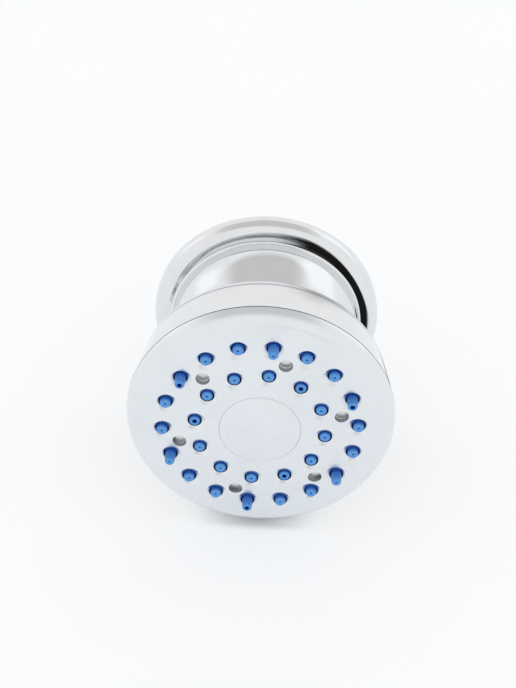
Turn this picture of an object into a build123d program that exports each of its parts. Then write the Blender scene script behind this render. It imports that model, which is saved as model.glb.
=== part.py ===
from build123d import *
from math import radians, sqrt, tan
import os

# Shower body jet, in millimetres. The wall plane is Y = 0 and the jet looks along -Y, with +Z up.
# Every turned piece is drawn as half a section: radius across, distance out of the wall upwards.

# Flange and dome: one turned brass shell against the wall
flange_diameter = 54.4
flange_skirt = 1.2
rim_round = 3.2
cove_width = 1.5
cove_fillet = 0.7
dome_height = 20.6
dome_wall = 2.4
lip_diameter = 22.6
lip_thickness = 1.0
lip_round = 0.8
boss_wall = 2.5
boss_recess = 1.0
cavity_depth = 13.0
gasket_land = 1.7
gasket_width = 2.8
gasket_thickness = 1.0

# Inlet: half-inch pipe thread, drawn as its minor diameter
thread_minor_diameter = 18.64
thread_length = 8.0
thread_relief_diameter = 21.2
body_diameter = 26.0
passage_diameter = 10.0
pin_hole_diameter = 1.8
pin_hole_depth = 2.0
washer_thickness = 1.8
washer_bore_diameter = 12.0
strainer_rim = 0.8
strainer_mesh = 0.4
strainer_dish = 0.5

# Ball joint
ball_diameter = 18.0
ball_setback = 4.0
ball_back_land = 1.5
ball_play = 0.1
mouth_play = 0.3
friction_ring_wall = 1.7
body_setback = 2.4
stem_diameter = 11.0
stem_bore_diameter = 6.0
stem_fillet = 1.0
stem_thread_diameter = 13.0
seal_bore_diameter = 13.8
seal_front_setback = 2.975
seal_lip = 0.9
seal_reach = 7.1
backup_thickness = 1.2

# Flow limiter in the stem's end
limiter_diameter = 9.6
limiter_length = 2.5
limiter_hole_diameter = 2.4
limiter_groove_depth = 0.8
limiter_groove_width = 1.1
limiter_recess = 0.2

# Head
neck_gap = 3.9
boss_drop = 2.3
boss_band = 0.7
head_diameter = 60.0
head_rear_diameter = 56.5
rim_depth = 10.25
rear_round = 1.0
roll_land = 0.4
roll_depth = 2.6
roll_fillet = 0.5
edge_depth = 3.25
edge_width = 2.7
edge_bulge = 0.46
parting_gap = 0.25
shell_bore_diameter = 54.4
rear_wall = 2.0
head_boss_diameter = 17.4
head_boss_lip = 0.8
insert_wall = 1.4
boss_tube_wall = 1.8
stem_washer_thickness = 1.0
stem_washer_bore_diameter = 10.6
web_thickness = 1.6
web_drop = 1.3
port_diameter = 1.8
port_circle_diameter = 8.8
port_count = 6
post_diameter = 6.0
post_reach = 0.9
rib_thickness = 1.6
rib_count = 6

# Face, nozzle mat and spray plate
face_thickness = 2.7
face_crown = 1.3
skirt_wall = 2.2
skirt_depth = 5.8
oring_diameter = 1.2
oring_groove_width = 1.6
oring_set_in = 2.6
mat_thickness = 1.4
spray_thickness = 1.5
feed_hole_diameter = 3.2
feed_hole_count = 12
outer_ring_diameter = 43.64
outer_ring_count = 18
inner_ring_diameter = 29.12
inner_ring_count = 12
long_nozzle_count = 6
pattern_turn = 24.74
nozzle_root_diameter = 2.9
short_tip_diameter = 2.4
long_tip_diameter = 2.1
short_nozzle = 1.15
long_nozzle = 3.1
nozzle_feed_diameter = 1.7
fine_orifice_diameter = 0.4
wide_orifice_diameter = 1.0
wide_orifice_count = 3
nozzle_hole_diameter = 3.2
countersink_diameter = 4.7
countersink_angle = 120.0
blind_hole_diameter = 3.1
blind_hole_depth = 1.4
blind_circle_diameter = 36.8
blind_hole_count = 6
blind_hole_turn = -10.0

# Cap and screw in the middle of the face
cap_diameter = 18.0
cap_edge = 0.15
cap_crown = 0.8
cap_recess = 1.2
cap_spigot_wall = 0.9
cap_spigot_length = 1.6
well_diameter = 12.0
well_wall = 1.2
well_floor = 1.2
screw_diameter = 3.9
screw_length = 5.1
screw_head_diameter = 6.8
screw_head_height = 1.6
screw_hex = 2.5
screw_hex_depth = 0.9
screw_seal_thickness = 0.6

# Clearances
thread_play = 0.05
slip_play = 0.1
ring_end_play = 0.15
seat_play = 0.1
tuck_play = 0.2

# Distances out of the wall that the sizes above give
rim_top = flange_skirt + rim_round
lip_out = rim_top + dome_height
lip_back = lip_out - lip_thickness
ball_out = lip_out - ball_setback
body_front = ball_out - body_setback
ring_back = body_front + ring_end_play
ring_front = lip_back - slip_play
seal_back = ball_out - seal_reach
seat_floor = seal_back - backup_thickness
relief_end = thread_length + washer_thickness
head_boss_back = lip_out + neck_gap
head_rear = head_boss_back + boss_drop
parting = head_rear + rim_depth
shell_front = parting - parting_gap
edge_out = parting + edge_depth
face_out = edge_out + face_crown
plate_back = edge_out - face_thickness
mat_back = plate_back - mat_thickness
spray_back = mat_back - spray_thickness
web_front = spray_back - web_drop
web_back = web_front - web_thickness
stem_washer_back = web_back - stem_washer_thickness
stem_end = stem_washer_back - slip_play
insert_back = head_boss_back + head_boss_lip
shell_floor = head_rear + rear_wall
roll_back = head_rear - roll_depth
boss_floor = head_boss_back + boss_band + rear_wall
skirt_back = plate_back - skirt_depth

# Radii that the sizes above give
flange_r = flange_diameter / 2
gasket_r = flange_r - gasket_land
gasket_inner_r = gasket_r - gasket_width
dome_foot_r = flange_r - rim_round - cove_width
lip_r = lip_diameter / 2
body_r = body_diameter / 2
body_bore_r = body_r + thread_play
boss_r = body_bore_r + boss_wall
ball_r = ball_diameter / 2
socket_r = ball_r + ball_play
friction_ring_r = socket_r + friction_ring_wall
ring_seat_r = friction_ring_r + slip_play
seal_front_r = sqrt(socket_r**2 - seal_front_setback**2)
seal_r = seal_front_r + seal_lip
seal_seat_r = seal_r + seat_play
mouth_r = sqrt((ball_r + mouth_play) ** 2 - (lip_back - ball_out) ** 2)
stem_r = stem_diameter / 2
stem_thread_r = stem_thread_diameter / 2
limiter_r = limiter_diameter / 2
limiter_seat_r = limiter_r + seat_play
insert_bore_r = stem_thread_r + thread_play
insert_r = insert_bore_r + insert_wall
insert_seat_r = insert_r + thread_play
boss_tube_r = insert_seat_r + boss_tube_wall
head_r = head_diameter / 2
roll_r = head_rear_diameter / 2
roll_in_r = roll_r - 2 * rear_round - roll_land
edge_r = head_r - edge_width
cap_r = cap_diameter / 2
cap_seat_r = cap_r + seat_play
shell_bore_r = shell_bore_diameter / 2
skirt_r = shell_bore_r - slip_play
skirt_bore_r = skirt_r - skirt_wall
oring_groove_r = skirt_r - oring_diameter
mat_r = skirt_bore_r - tuck_play
well_r = well_diameter / 2 + well_wall
mat_bore_r = well_r + tuck_play
outer_ring_r = outer_ring_diameter / 2
inner_ring_r = inner_ring_diameter / 2
screw_hole_r = screw_diameter / 2 + seat_play

# The dome's arc leaves its foot along the axis and ends at the lip
dome_in = dome_foot_r - lip_r
dome_arc_r = (dome_in**2 + dome_height**2) / (2 * dome_in)
cavity_arc_r = dome_arc_r - dome_wall
cavity_top_r = dome_foot_r - dome_arc_r + sqrt(cavity_arc_r**2 - (cavity_depth - rim_top) ** 2)

# The face's arc leaves the cap's seat across the axis and ends at the edge
crown_in = edge_r - cap_seat_r
crown_arc_r = (crown_in**2 + face_crown**2) / (2 * face_crown)

# Half sections are drawn here, with the radius along +X and the way out of the wall along -Y
section = Plane(origin=(0, 0, 0), x_dir=(1, 0, 0), z_dir=(0, 0, -1))


def facing(out):
    """Plane across the axis at a distance out of the wall, seen as the jet's face is seen."""
    return Plane(origin=(0, -out, 0), x_dir=(1, 0, 0), z_dir=(0, -1, 0))


def corner(sketch, radius, out):
    """Corner of a half section that lies nearest to a radius and a distance out of the wall."""
    return sketch.vertices().sort_by_distance((radius, out, 0))[0]


def sphere_out(radius, sphere_r):
    """How far behind the ball's centre a sphere about that centre has the given radius."""
    return sqrt(sphere_r**2 - radius**2)


def face_drop(radius):
    """How far the crowned face has fallen back from the cap's seat at a radius."""
    return crown_arc_r - sqrt(crown_arc_r**2 - (radius - cap_seat_r) ** 2)


os.makedirs("parts", exist_ok=True)

# Flange and dome, with the ball's lip in front and a hollow behind
with BuildPart() as dome_flange:
    with BuildSketch(section) as dome_section:
        with BuildLine():
            Line((flange_r, 0), (flange_r, flange_skirt))
            TangentArc((flange_r, flange_skirt), (flange_r - rim_round, rim_top), tangent=(0, 1))
            Line((flange_r - rim_round, rim_top), (dome_foot_r, rim_top))
            TangentArc((dome_foot_r, rim_top), (lip_r, lip_out), tangent=(0, 1))
            Polyline(
                (lip_r, lip_out),
                (mouth_r, lip_out),
                (mouth_r, lip_back),
                (ring_seat_r, lip_back),
                (ring_seat_r, body_front),
                (body_bore_r, body_front),
                (body_bore_r, boss_recess),
                (boss_r, boss_recess),
                (boss_r, cavity_depth),
                (cavity_top_r, cavity_depth),
            )
            TangentArc(
                (dome_foot_r - dome_wall, rim_top), (cavity_top_r, cavity_depth), tangent=(0, 1)
            )
            Polyline(
                (dome_foot_r - dome_wall, rim_top),
                (dome_foot_r - dome_wall, 0),
                (gasket_inner_r, 0),
                (gasket_inner_r, gasket_thickness),
                (gasket_r, gasket_thickness),
                (gasket_r, 0),
                (flange_r, 0),
            )
        make_face()
        fillet(corner(dome_section, dome_foot_r, rim_top), cove_fillet)
        fillet(corner(dome_section, lip_r, lip_out), lip_round)
    revolve(axis=Axis.Y)
dome_flange.part.label = "dome_flange"
export_step(dome_flange.part, "parts/dome_flange.step")

# Foam ring that fills the groove in the flange's back
with BuildPart() as wall_gasket:
    with BuildSketch(facing(0)):
        Circle(gasket_r - seat_play)
        Circle(gasket_inner_r + seat_play, mode=Mode.SUBTRACT)
    extrude(amount=gasket_thickness)
wall_gasket.part.label = "wall_gasket"
export_step(wall_gasket.part, "parts/wall_gasket.step")

# Inlet piece: pipe thread behind, ball seat in front
with BuildPart() as inlet_body:
    with BuildSketch(section):
        with BuildLine():
            Polyline(
                (thread_minor_diameter / 2, 0),
                (body_r, 0),
                (body_r, body_front),
                (seal_seat_r, body_front),
                (seal_seat_r, seat_floor),
                (passage_diameter / 2, seat_floor),
                (passage_diameter / 2, relief_end),
                (thread_relief_diameter / 2, relief_end),
                (thread_relief_diameter / 2, thread_length),
                (thread_minor_diameter / 2, thread_length),
                close=True,
            )
        make_face()
    revolve(axis=Axis.Y)
    with BuildSketch(facing(0)):
        with PolarLocations((body_r + thread_minor_diameter / 2) / 2, 2):
            Circle(pin_hole_diameter / 2)
    extrude(amount=pin_hole_depth, mode=Mode.SUBTRACT)
inlet_body.part.label = "inlet_body"
export_step(inlet_body.part, "parts/inlet_body.step")

# Washer in the relief behind the thread
with BuildPart() as inlet_washer:
    with BuildSketch(facing(thread_length)):
        Circle(thread_relief_diameter / 2 - tuck_play)
        Circle(washer_bore_diameter / 2, mode=Mode.SUBTRACT)
    extrude(amount=washer_thickness)
inlet_washer.part.label = "inlet_washer"
export_step(inlet_washer.part, "parts/inlet_washer.step")

# Strainer: a rim in the washer's bore and a dished disc of mesh
with BuildPart() as inlet_strainer:
    strainer_r = washer_bore_diameter / 2 - seat_play
    mesh_r = strainer_r - strainer_rim
    dish_front = relief_end - strainer_dish
    dish_back = dish_front - strainer_mesh
    with BuildSketch(section):
        with BuildLine():
            Line((0, dish_back), (0, dish_front))
            TangentArc((0, dish_front), (mesh_r, relief_end), tangent=(1, 0))
            Polyline(
                (mesh_r, relief_end),
                (strainer_r, relief_end),
                (strainer_r, dish_back),
                (mesh_r, dish_back),
                (mesh_r, relief_end - strainer_mesh),
            )
            TangentArc((0, dish_back), (mesh_r, relief_end - strainer_mesh), tangent=(1, 0))
        make_face()
    revolve(axis=Axis.Y)
inlet_strainer.part.label = "inlet_strainer"
export_step(inlet_strainer.part, "parts/inlet_strainer.step")

# Seat ring behind the ball, hollowed to the ball's curve
seal_inner_out = ball_out - sphere_out(seal_bore_diameter / 2, socket_r)
seal_front_out = ball_out - seal_front_setback
with BuildPart() as ball_seal:
    with BuildSketch(section):
        with BuildLine():
            RadiusArc(
                (seal_bore_diameter / 2, seal_inner_out),
                (seal_front_r, seal_front_out),
                -socket_r,
            )
            Polyline(
                (seal_front_r, seal_front_out),
                (seal_r, seal_front_out),
                (seal_r, seal_back),
                (seal_bore_diameter / 2, seal_back),
                (seal_bore_diameter / 2, seal_inner_out),
            )
        make_face()
    revolve(axis=Axis.Y)
ball_seal.part.label = "ball_seal"
export_step(ball_seal.part, "parts/ball_seal.step")

# Stiff ring that backs the seat ring
with BuildPart() as seal_backup:
    with BuildSketch(facing(seat_floor)):
        Circle(seal_r)
        Circle(seal_bore_diameter / 2, mode=Mode.SUBTRACT)
    extrude(amount=backup_thickness)
seal_backup.part.label = "seal_backup"
export_step(seal_backup.part, "parts/seal_backup.step")

# Sleeve between dome and ball: straight behind the ball's middle, round in front of it
with BuildPart() as friction_ring:
    ring_front_r = sqrt(socket_r**2 - (ring_front - ball_out) ** 2)
    with BuildSketch(section):
        with BuildLine():
            Polyline(
                (ring_front_r, ring_front),
                (friction_ring_r, ring_front),
                (friction_ring_r, ring_back),
                (socket_r, ring_back),
                (socket_r, ball_out),
            )
            TangentArc((socket_r, ball_out), (ring_front_r, ring_front), tangent=(0, 1))
        make_face()
    revolve(axis=Axis.Y)
friction_ring.part.label = "friction_ring"
export_step(friction_ring.part, "parts/friction_ring.step")

# Ball and bored stem, flat behind and counterbored in front
ball_back_r = stem_bore_diameter / 2 + ball_back_land
ball_back = ball_out - sphere_out(ball_back_r, ball_r)
stem_root = ball_out + sphere_out(stem_r, ball_r)
limiter_back = stem_end - limiter_recess - limiter_length
with BuildPart() as swivel_ball:
    with BuildSketch(section) as ball_section:
        with BuildLine():
            Line((stem_bore_diameter / 2, ball_back), (ball_back_r, ball_back))
            ThreePointArc((ball_back_r, ball_back), (ball_r, ball_out), (stem_r, stem_root))
            Polyline(
                (stem_r, stem_root),
                (stem_r, insert_back),
                (stem_thread_r, insert_back),
                (stem_thread_r, stem_end),
                (limiter_seat_r, stem_end),
                (limiter_seat_r, limiter_back),
                (stem_bore_diameter / 2, limiter_back),
                (stem_bore_diameter / 2, ball_back),
            )
        make_face()
        fillet(corner(ball_section, stem_r, stem_root), stem_fillet)
    revolve(axis=Axis.Y)
swivel_ball.part.label = "swivel_ball"
export_step(swivel_ball.part, "parts/swivel_ball.step")

# Flow limiter, with a groove for its ring
limiter_mid = limiter_back + limiter_length / 2
limiter_groove_r = limiter_r - limiter_groove_depth
with BuildPart() as flow_limiter:
    with BuildSketch(section):
        with BuildLine():
            Polyline(
                (limiter_hole_diameter / 2, limiter_back),
                (limiter_r, limiter_back),
                (limiter_r, limiter_mid - limiter_groove_width / 2),
                (limiter_groove_r, limiter_mid - limiter_groove_width / 2),
                (limiter_groove_r, limiter_mid + limiter_groove_width / 2),
                (limiter_r, limiter_mid + limiter_groove_width / 2),
                (limiter_r, limiter_back + limiter_length),
                (limiter_hole_diameter / 2, limiter_back + limiter_length),
                close=True,
            )
        make_face()
    revolve(axis=Axis.Y)
flow_limiter.part.label = "flow_limiter"
export_step(flow_limiter.part, "parts/flow_limiter.step")

with BuildPart() as limiter_oring:
    with BuildSketch(section):
        with Locations((limiter_groove_r + limiter_groove_depth / 2, limiter_mid)):
            Circle(limiter_groove_depth / 2)
    revolve(axis=Axis.Y)
limiter_oring.part.label = "limiter_oring"
export_step(limiter_oring.part, "parts/limiter_oring.step")

# Rear shell: tapered rim with a rolled rear edge, shallow cone behind, stem boss, and web with the screw post
with BuildPart() as head_shell:
    with BuildSketch(section) as shell_section:
        with BuildLine():
            Polyline(
                (shell_bore_r, shell_front),
                (head_r, shell_front),
                (roll_r, roll_back),
                (roll_in_r, roll_back),
                (roll_in_r, head_rear),
                (head_boss_diameter / 2, head_boss_back + boss_band),
                (head_boss_diameter / 2, head_boss_back),
                (stem_thread_r + mouth_play, head_boss_back),
                (stem_thread_r + mouth_play, insert_back),
                (insert_seat_r, insert_back),
                (insert_seat_r, web_back),
                (post_diameter / 2, web_back),
                (post_diameter / 2, web_back - post_reach),
                (screw_hole_r, web_back - post_reach),
                (screw_hole_r, spray_back),
                (post_diameter / 2, spray_back),
                (post_diameter / 2, web_front),
                (boss_tube_r, web_front),
                (boss_tube_r, boss_floor),
                (shell_bore_r, shell_floor),
                close=True,
            )
        make_face()
        for radius in (roll_r, roll_in_r):
            fillet(corner(shell_section, radius, roll_back), rear_round)
        fillet(corner(shell_section, roll_in_r, head_rear), roll_fillet)
    revolve(axis=Axis.Y)
    with BuildSketch(facing(web_front)):
        with PolarLocations(port_circle_diameter / 2, port_count):
            Circle(port_diameter / 2)
    extrude(amount=-web_thickness, mode=Mode.SUBTRACT)
    rib_length = mat_r - boss_tube_r
    with BuildSketch(facing(spray_back)):
        with PolarLocations(boss_tube_r + rib_length / 2, rib_count):
            Rectangle(rib_length + boss_tube_wall, rib_thickness)
        Circle(mat_r, mode=Mode.INTERSECT)
    extrude(amount=boss_floor - spray_back)
head_shell.part.label = "head_shell"
export_step(head_shell.part, "parts/head_shell.step")

# Threaded insert in the boss
with BuildPart() as stem_insert:
    with BuildSketch(facing(insert_back)):
        Circle(insert_r)
        Circle(insert_bore_r, mode=Mode.SUBTRACT)
    extrude(amount=stem_washer_back - insert_back)
stem_insert.part.label = "stem_insert"
export_step(stem_insert.part, "parts/stem_insert.step")

with BuildPart() as stem_washer:
    with BuildSketch(facing(stem_washer_back)):
        Circle(insert_r)
        Circle(stem_washer_bore_diameter / 2, mode=Mode.SUBTRACT)
    extrude(amount=stem_washer_thickness)
stem_washer.part.label = "stem_washer"
export_step(stem_washer.part, "parts/stem_washer.step")

# Plate that feeds the nozzles, on the shell's ribs
with BuildPart() as spray_plate:
    with BuildSketch(facing(spray_back)):
        Circle(mat_r)
        Circle(mat_bore_r, mode=Mode.SUBTRACT)
        with PolarLocations((outer_ring_r + inner_ring_r) / 2, feed_hole_count):
            Circle(feed_hole_diameter / 2, mode=Mode.SUBTRACT)
    extrude(amount=spray_thickness)
spray_plate.part.label = "spray_plate"
export_step(spray_plate.part, "parts/spray_plate.step")

# Nozzle mat: every nozzle tapers out of the face, and some of the outer ring are long
outer_step = 360 / outer_ring_count
inner_step = 360 / inner_ring_count
wide_step = 360 / wide_orifice_count


def ring_places(radius, angles):
    """Places on the mat's back for nozzles at the given angles round a ring."""
    plane = facing(mat_back)
    return [Location(plane) * Location(Vector(radius, 0).rotate(Axis.Z, angle)) for angle in angles]


outer_angles = [pattern_turn + outer_step * place for place in range(outer_ring_count)]
inner_angles = [pattern_turn + inner_step * place for place in range(inner_ring_count)]
long_angles = outer_angles[:: outer_ring_count // long_nozzle_count]
short_angles = [angle for angle in outer_angles if angle not in long_angles]
wide_long = [angle for angle in long_angles if (angle - pattern_turn) % wide_step == 0]
wide_inner = [
    angle for angle in inner_angles if (angle - pattern_turn - inner_step) % wide_step == 0
]
short_places = ring_places(outer_ring_r, short_angles) + ring_places(inner_ring_r, inner_angles)
long_places = ring_places(outer_ring_r, long_angles)
wide_long_places = ring_places(outer_ring_r, wide_long)
fine_long_places = ring_places(outer_ring_r, [a for a in long_angles if a not in wide_long])
wide_short_places = ring_places(inner_ring_r, wide_inner)
fine_short_places = ring_places(outer_ring_r, short_angles) + ring_places(
    inner_ring_r, [a for a in inner_angles if a not in wide_inner]
)
short_length = edge_out + short_nozzle - mat_back
long_length = edge_out + long_nozzle - mat_back
from_back = (Align.CENTER, Align.CENTER, Align.MIN)

with BuildPart() as nozzle_mat:
    with BuildSketch(facing(mat_back)):
        Circle(mat_r)
        Circle(mat_bore_r, mode=Mode.SUBTRACT)
    extrude(amount=mat_thickness)
    for places, length, tip in (
        (short_places, short_length, short_tip_diameter),
        (long_places, long_length, long_tip_diameter),
    ):
        with Locations(*places):
            Cone(nozzle_root_diameter / 2, tip / 2, length, align=from_back)
    for places, length, orifice in (
        (fine_short_places, short_length, fine_orifice_diameter),
        (wide_short_places, short_length, wide_orifice_diameter),
        (fine_long_places, long_length, fine_orifice_diameter),
        (wide_long_places, long_length, wide_orifice_diameter),
    ):
        with Locations(*places):
            Cone(
                nozzle_feed_diameter / 2, orifice / 2, length, align=from_back, mode=Mode.SUBTRACT
            )
nozzle_mat.part.label = "nozzle_mat"
export_step(nozzle_mat.part, "parts/nozzle_mat.step")

# Face: low crown with a rounded edge, a skirt into the shell and a well in the middle
cap_floor = face_out - cap_recess
groove_front = skirt_back + oring_set_in
groove_back = groove_front - oring_groove_width
with BuildPart() as face_plate:
    with BuildSketch(section):
        with BuildLine():
            Polyline(
                (cap_seat_r, face_out),
                (cap_seat_r, cap_floor),
                (well_diameter / 2, cap_floor),
                (well_diameter / 2, spray_back + well_floor),
                (screw_hole_r, spray_back + well_floor),
                (screw_hole_r, spray_back),
                (well_r, spray_back),
                (well_r, plate_back),
                (skirt_bore_r, plate_back),
                (skirt_bore_r, skirt_back),
                (skirt_r, skirt_back),
                (skirt_r, groove_back),
                (oring_groove_r, groove_back),
                (oring_groove_r, groove_front),
                (skirt_r, groove_front),
                (skirt_r, parting),
                (head_r, parting),
            )
            SagittaArc((head_r, parting), (edge_r, edge_out), -edge_bulge)
            TangentArc((cap_seat_r, face_out), (edge_r, edge_out), tangent=(1, 0))
        make_face()
    revolve(axis=Axis.Y)
    for ring_r, count in ((outer_ring_r, outer_ring_count), (inner_ring_r, inner_ring_count)):
        sink_out = face_out - face_drop(ring_r - countersink_diameter)
        sink_depth = sink_out - face_out + face_drop(ring_r)
        sink_spread = sink_depth * tan(radians(countersink_angle / 2))
        with Locations(facing(sink_out)):
            with PolarLocations(ring_r, count, start_angle=pattern_turn):
                CounterSinkHole(
                    nozzle_hole_diameter / 2,
                    countersink_diameter / 2 + sink_spread,
                    depth=sink_out - plate_back,
                    counter_sink_angle=countersink_angle,
                )
    blind_r = blind_circle_diameter / 2
    with Locations(facing(face_out)):
        with PolarLocations(blind_r, blind_hole_count, start_angle=pattern_turn + blind_hole_turn):
            Hole(blind_hole_diameter / 2, depth=face_drop(blind_r) + blind_hole_depth)
face_plate.part.label = "face_plate"
export_step(face_plate.part, "parts/face_plate.step")

with BuildPart() as face_oring:
    with BuildSketch(section):
        with Locations((oring_groove_r + oring_diameter / 2, (groove_back + groove_front) / 2)):
            Circle(oring_diameter / 2)
    revolve(axis=Axis.Y)
face_oring.part.label = "face_oring"
export_step(face_oring.part, "parts/face_oring.step")

# Screw down the well into the shell's post, with a sealing washer under its head
screw_seat = spray_back + well_floor + screw_seal_thickness
with BuildPart() as centre_screw:
    with BuildSketch(facing(screw_seat)):
        Circle(screw_head_diameter / 2)
    extrude(amount=screw_head_height)
    with BuildSketch(facing(screw_seat)):
        Circle(screw_diameter / 2)
    extrude(amount=-screw_length)
    with BuildSketch(facing(screw_seat + screw_head_height)):
        RegularPolygon(screw_hex / 2, 6, major_radius=False)
    extrude(amount=-screw_hex_depth, mode=Mode.SUBTRACT)
centre_screw.part.label = "centre_screw"
export_step(centre_screw.part, "parts/centre_screw.step")

with BuildPart() as screw_seal:
    with BuildSketch(facing(spray_back + well_floor)):
        Circle(screw_head_diameter / 2)
        Circle(screw_hole_r, mode=Mode.SUBTRACT)
    extrude(amount=screw_seal_thickness)
screw_seal.part.label = "screw_seal"
export_step(screw_seal.part, "parts/screw_seal.step")

# Cap: low crown in the face's recess, with a spigot in the well
spigot_r = well_diameter / 2 - seat_play
with BuildPart() as centre_cap:
    with BuildSketch(section):
        with BuildLine():
            Polyline(
                (0, face_out + cap_crown),
                (0, cap_floor),
                (spigot_r - cap_spigot_wall, cap_floor),
                (spigot_r - cap_spigot_wall, cap_floor - cap_spigot_length),
                (spigot_r, cap_floor - cap_spigot_length),
                (spigot_r, cap_floor),
                (cap_r, cap_floor),
                (cap_r, face_out + cap_edge),
            )
            TangentArc((0, face_out + cap_crown), (cap_r, face_out + cap_edge), tangent=(1, 0))
        make_face()
    revolve(axis=Axis.Y)
centre_cap.part.label = "centre_cap"
export_step(centre_cap.part, "parts/centre_cap.step")
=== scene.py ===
"""Looks of a wall-mounted shower body jet: mirror-plated shells, a silicone nozzle face and a brass inlet.

The wall plane is Y = 0 and the jet looks along -Y, with +Z up. Sizes are in millimetres, as radius from the
jet's axis and distance out of the wall, and meshes are in metres.
"""

import logging
import math
from abc import ABC, abstractmethod
from dataclasses import dataclass, field
from enum import Enum
from typing import Callable, ClassVar, Optional, Sequence, Union

import bpy
from mathutils import Matrix, Vector
from mathutils.geometry import interpolate_bezier


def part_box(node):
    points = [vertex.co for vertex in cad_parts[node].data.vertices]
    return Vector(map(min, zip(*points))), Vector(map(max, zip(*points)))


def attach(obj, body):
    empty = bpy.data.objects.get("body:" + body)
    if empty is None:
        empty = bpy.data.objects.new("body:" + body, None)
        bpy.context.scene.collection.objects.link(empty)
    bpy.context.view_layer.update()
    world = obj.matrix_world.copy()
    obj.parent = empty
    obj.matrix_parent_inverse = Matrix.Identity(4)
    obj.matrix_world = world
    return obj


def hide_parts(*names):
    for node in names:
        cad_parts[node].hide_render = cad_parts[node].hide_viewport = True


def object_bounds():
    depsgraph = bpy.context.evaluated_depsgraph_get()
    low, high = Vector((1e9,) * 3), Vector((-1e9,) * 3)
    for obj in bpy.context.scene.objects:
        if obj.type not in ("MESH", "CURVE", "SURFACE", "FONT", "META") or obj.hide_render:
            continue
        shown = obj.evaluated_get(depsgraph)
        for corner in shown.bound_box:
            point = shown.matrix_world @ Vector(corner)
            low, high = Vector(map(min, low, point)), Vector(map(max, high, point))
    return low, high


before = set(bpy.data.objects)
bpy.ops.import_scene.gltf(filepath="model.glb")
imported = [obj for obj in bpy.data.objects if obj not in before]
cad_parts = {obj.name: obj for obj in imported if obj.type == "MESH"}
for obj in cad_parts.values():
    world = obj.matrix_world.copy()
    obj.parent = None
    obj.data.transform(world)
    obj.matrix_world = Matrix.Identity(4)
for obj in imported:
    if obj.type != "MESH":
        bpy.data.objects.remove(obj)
CAD_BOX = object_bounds()

MM = 0.001  # in metres
WELD = 1e-6  # metres between vertices that are joined
NO_LENGTH = 1e-4  # millimetres that count as none
KEY_DIGITS = 5  # decimals of a millimetre that tell two points of a section apart
ROUND_OFF = 0.5  # makes a number that is cut to a whole one round instead
log = logging.getLogger("body_jet")

Pair = tuple[float, float]
Triple = tuple[float, float, float]
Colour = Triple
Key = Union[str, int]
Value = Union["Wire", float, int]
Swell = Callable[[float, float], float]


class Body(Enum):
    """The bodies that the made pieces ride on."""

    WALL_MOUNT = "wall_mount"
    HEAD = "head"


class Slot(Enum):
    """The record's material slots of the made pieces."""

    CHROME_PLASTIC = "chrome_plastic"
    RAW_BRASS = "raw_brass"
    BLUE_SILICONE = "blue_silicone"
    STRAINER_STEEL = "strainer_steel"


class Wire:
    """One output of a node tree, with arithmetic that adds Math nodes."""

    def __init__(self, pad: "NodePad", socket: bpy.types.NodeSocket) -> None:
        """Keeps the tree and the socket."""
        self.pad = pad
        self.socket = socket

    def math(self, operation: str, *others: Value) -> "Wire":
        """Adds a Math node of that operation on this wire and those values."""
        return self.pad.math(operation, self, *others)

    def __add__(self, other: Value) -> "Wire":
        """This plus other."""
        return self.math("ADD", other)

    __radd__ = __add__

    def __sub__(self, other: Value) -> "Wire":
        """This less other."""
        return self.math("SUBTRACT", other)

    def __rsub__(self, other: Value) -> "Wire":
        """Other less this."""
        return self.pad.math("SUBTRACT", other, self)

    def __mul__(self, other: Value) -> "Wire":
        """This times other."""
        return self.math("MULTIPLY", other)

    __rmul__ = __mul__

    def __truediv__(self, other: Value) -> "Wire":
        """This divided by other."""
        return self.math("DIVIDE", other)


class NodePad:
    """A node tree that is written as expressions, for shaders and for geometry."""

    def __init__(self, tree: bpy.types.NodeTree) -> None:
        """Keeps the tree."""
        self.tree = tree

    def add(self, kind: str, sockets: Optional[dict] = None, out: Key = 0, **settings: object) -> Wire:
        """Adds a node.

        Args:
            kind: the node's type.
            sockets: values or wires for its inputs, by name or by number.
            out: the output to return, by name or by number.
            settings: its properties, set first.

        Returns:
            That output.
        """
        node = self.tree.nodes.new(kind)
        for name, value in settings.items():
            setattr(node, name, value)
        for key, value in (sockets or {}).items():
            socket = self._find(node.inputs, key)
            for one in value if isinstance(value, list) else [value]:
                if isinstance(one, Wire):
                    self.tree.links.new(one.socket, socket)
                else:
                    socket.default_value = one
        return Wire(self, self._find(node.outputs, out) if len(node.outputs) else None)

    def other(self, wire: Wire, out: Key) -> Wire:
        """Another output of the node that a wire comes from."""
        return Wire(self, self._find(wire.socket.node.outputs, out))

    def math(self, operation: str, *values: Value) -> Wire:
        """Adds a Math node of that operation on those values."""
        return self.add("ShaderNodeMath", dict(enumerate(values)), operation=operation)

    @staticmethod
    def _find(sockets: Sequence, key: Key) -> bpy.types.NodeSocket:
        """Finds a node's socket.

        Args:
            sockets: the node's inputs or outputs.
            key: the socket's number, or its name.

        Returns:
            The socket of that number, or the first one in use that has that name.
        """
        if isinstance(key, int):
            return sockets[key]
        return next(s for s in sockets if s.name == key and s.enabled)


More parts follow.
